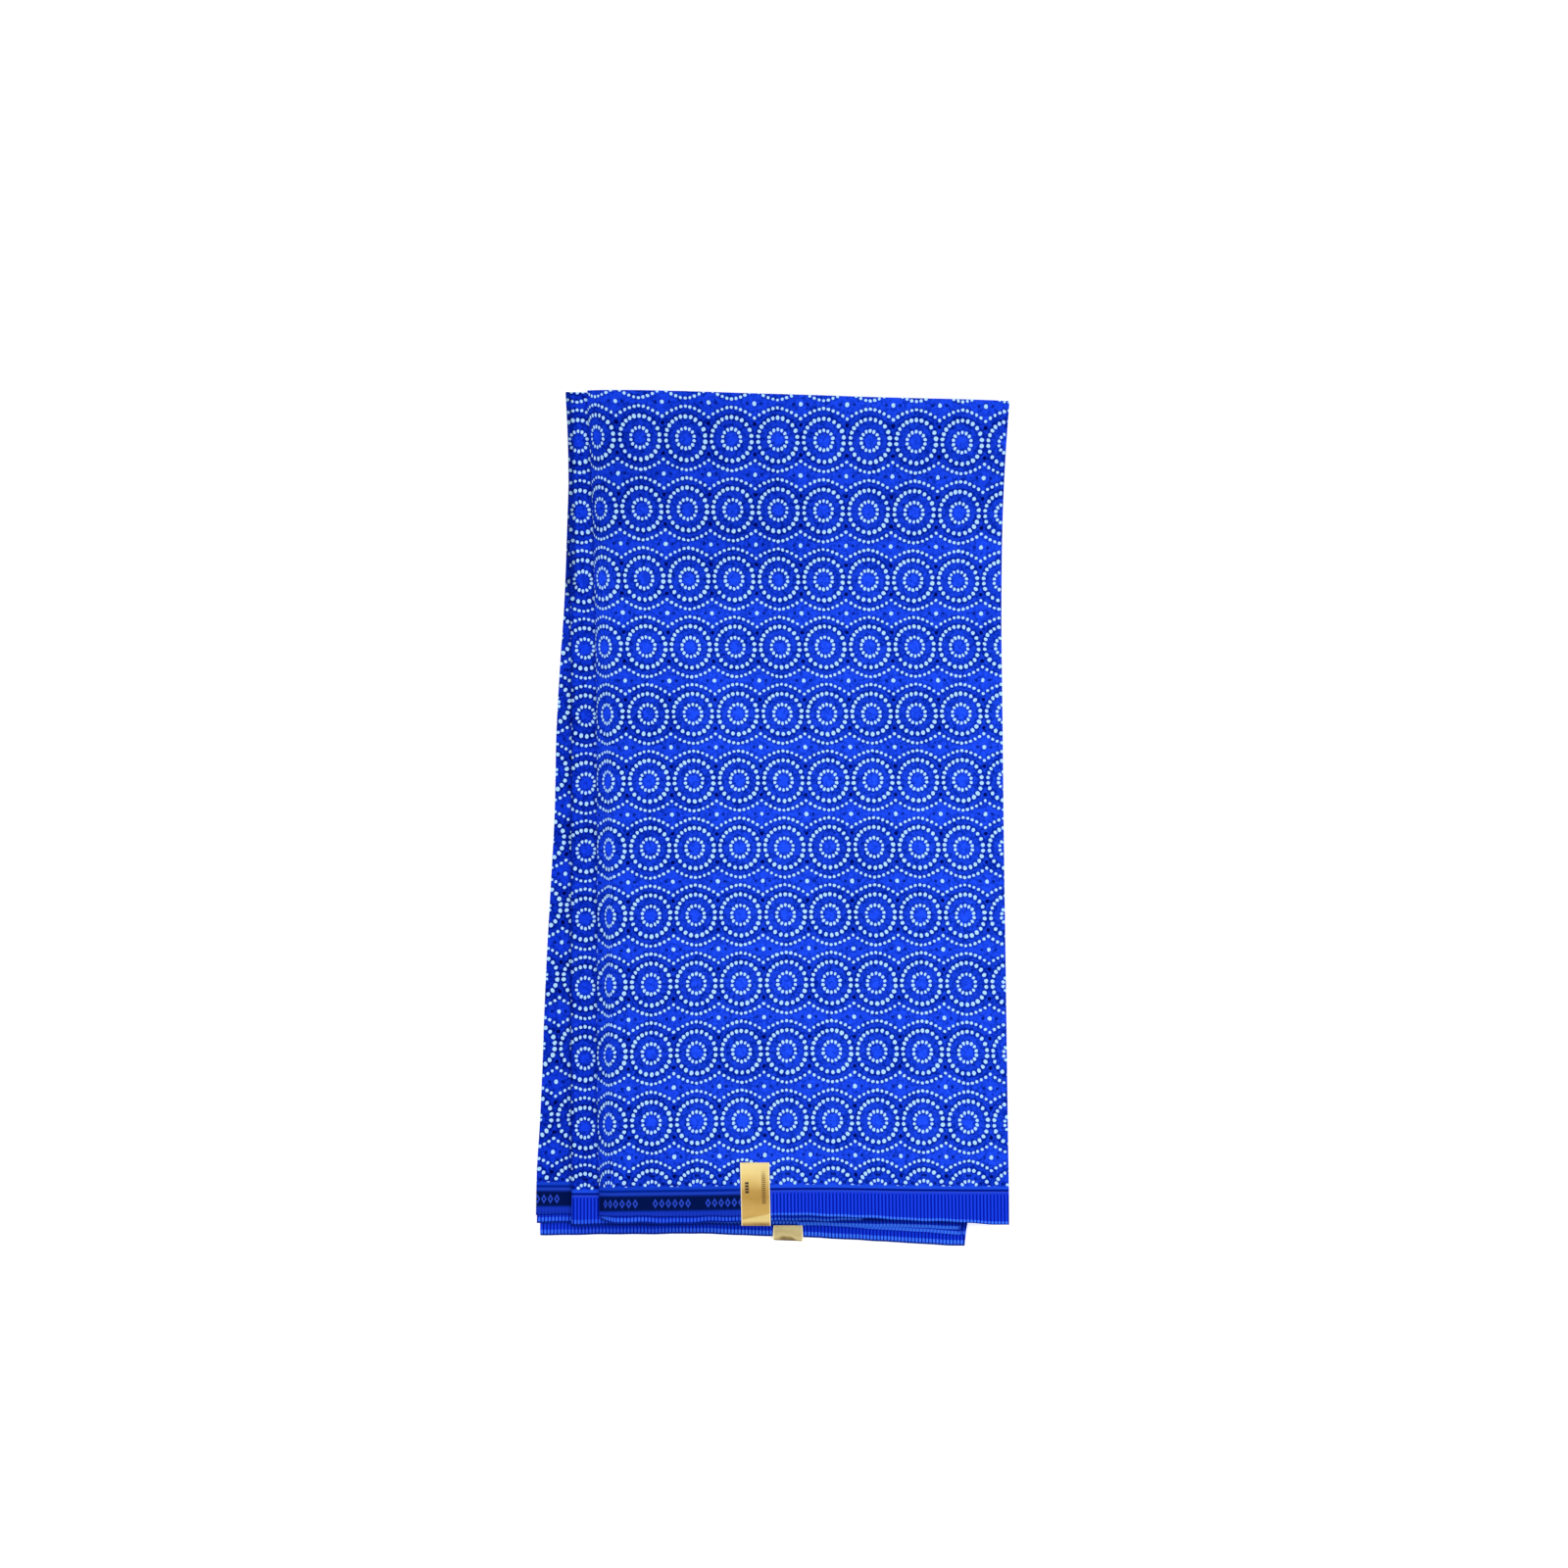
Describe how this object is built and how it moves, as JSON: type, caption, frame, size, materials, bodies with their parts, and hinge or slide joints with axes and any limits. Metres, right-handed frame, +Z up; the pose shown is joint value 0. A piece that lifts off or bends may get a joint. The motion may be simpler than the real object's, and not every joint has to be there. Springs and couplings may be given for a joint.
{
  "type": "folded shweshwe fabric length",
  "caption": "Length of printed cotton, doubled and folded to and fro into a flat pack with stepped edges and two foil labels.",
  "frame": {"origin": "centre of the pack's bounding box, on the surface it rests on", "axes": "+X across the folds, from the stepped left folds to the right edge; +Y up the cloth, from the selvedge hems to the top fold; +Z up, through the layers"},
  "size_m": [0.3318, 0.6014, 0.0213],
  "materials": {
    "printed_cotton": "plain weave with a light starch glaze, blue discharge print of dotted rings",
    "gold_foil": "brushed satin foil"
  },
  "bodies": {
    "root": {"front_panel": "printed_cotton", "second_leaf": "printed_cotton", "third_leaf": "printed_cotton", "base_leaf": "printed_cotton", "hidden_layers": "printed_cotton", "front_label": "gold_foil", "lower_label": "gold_foil"}
  },
  "joints": []
}
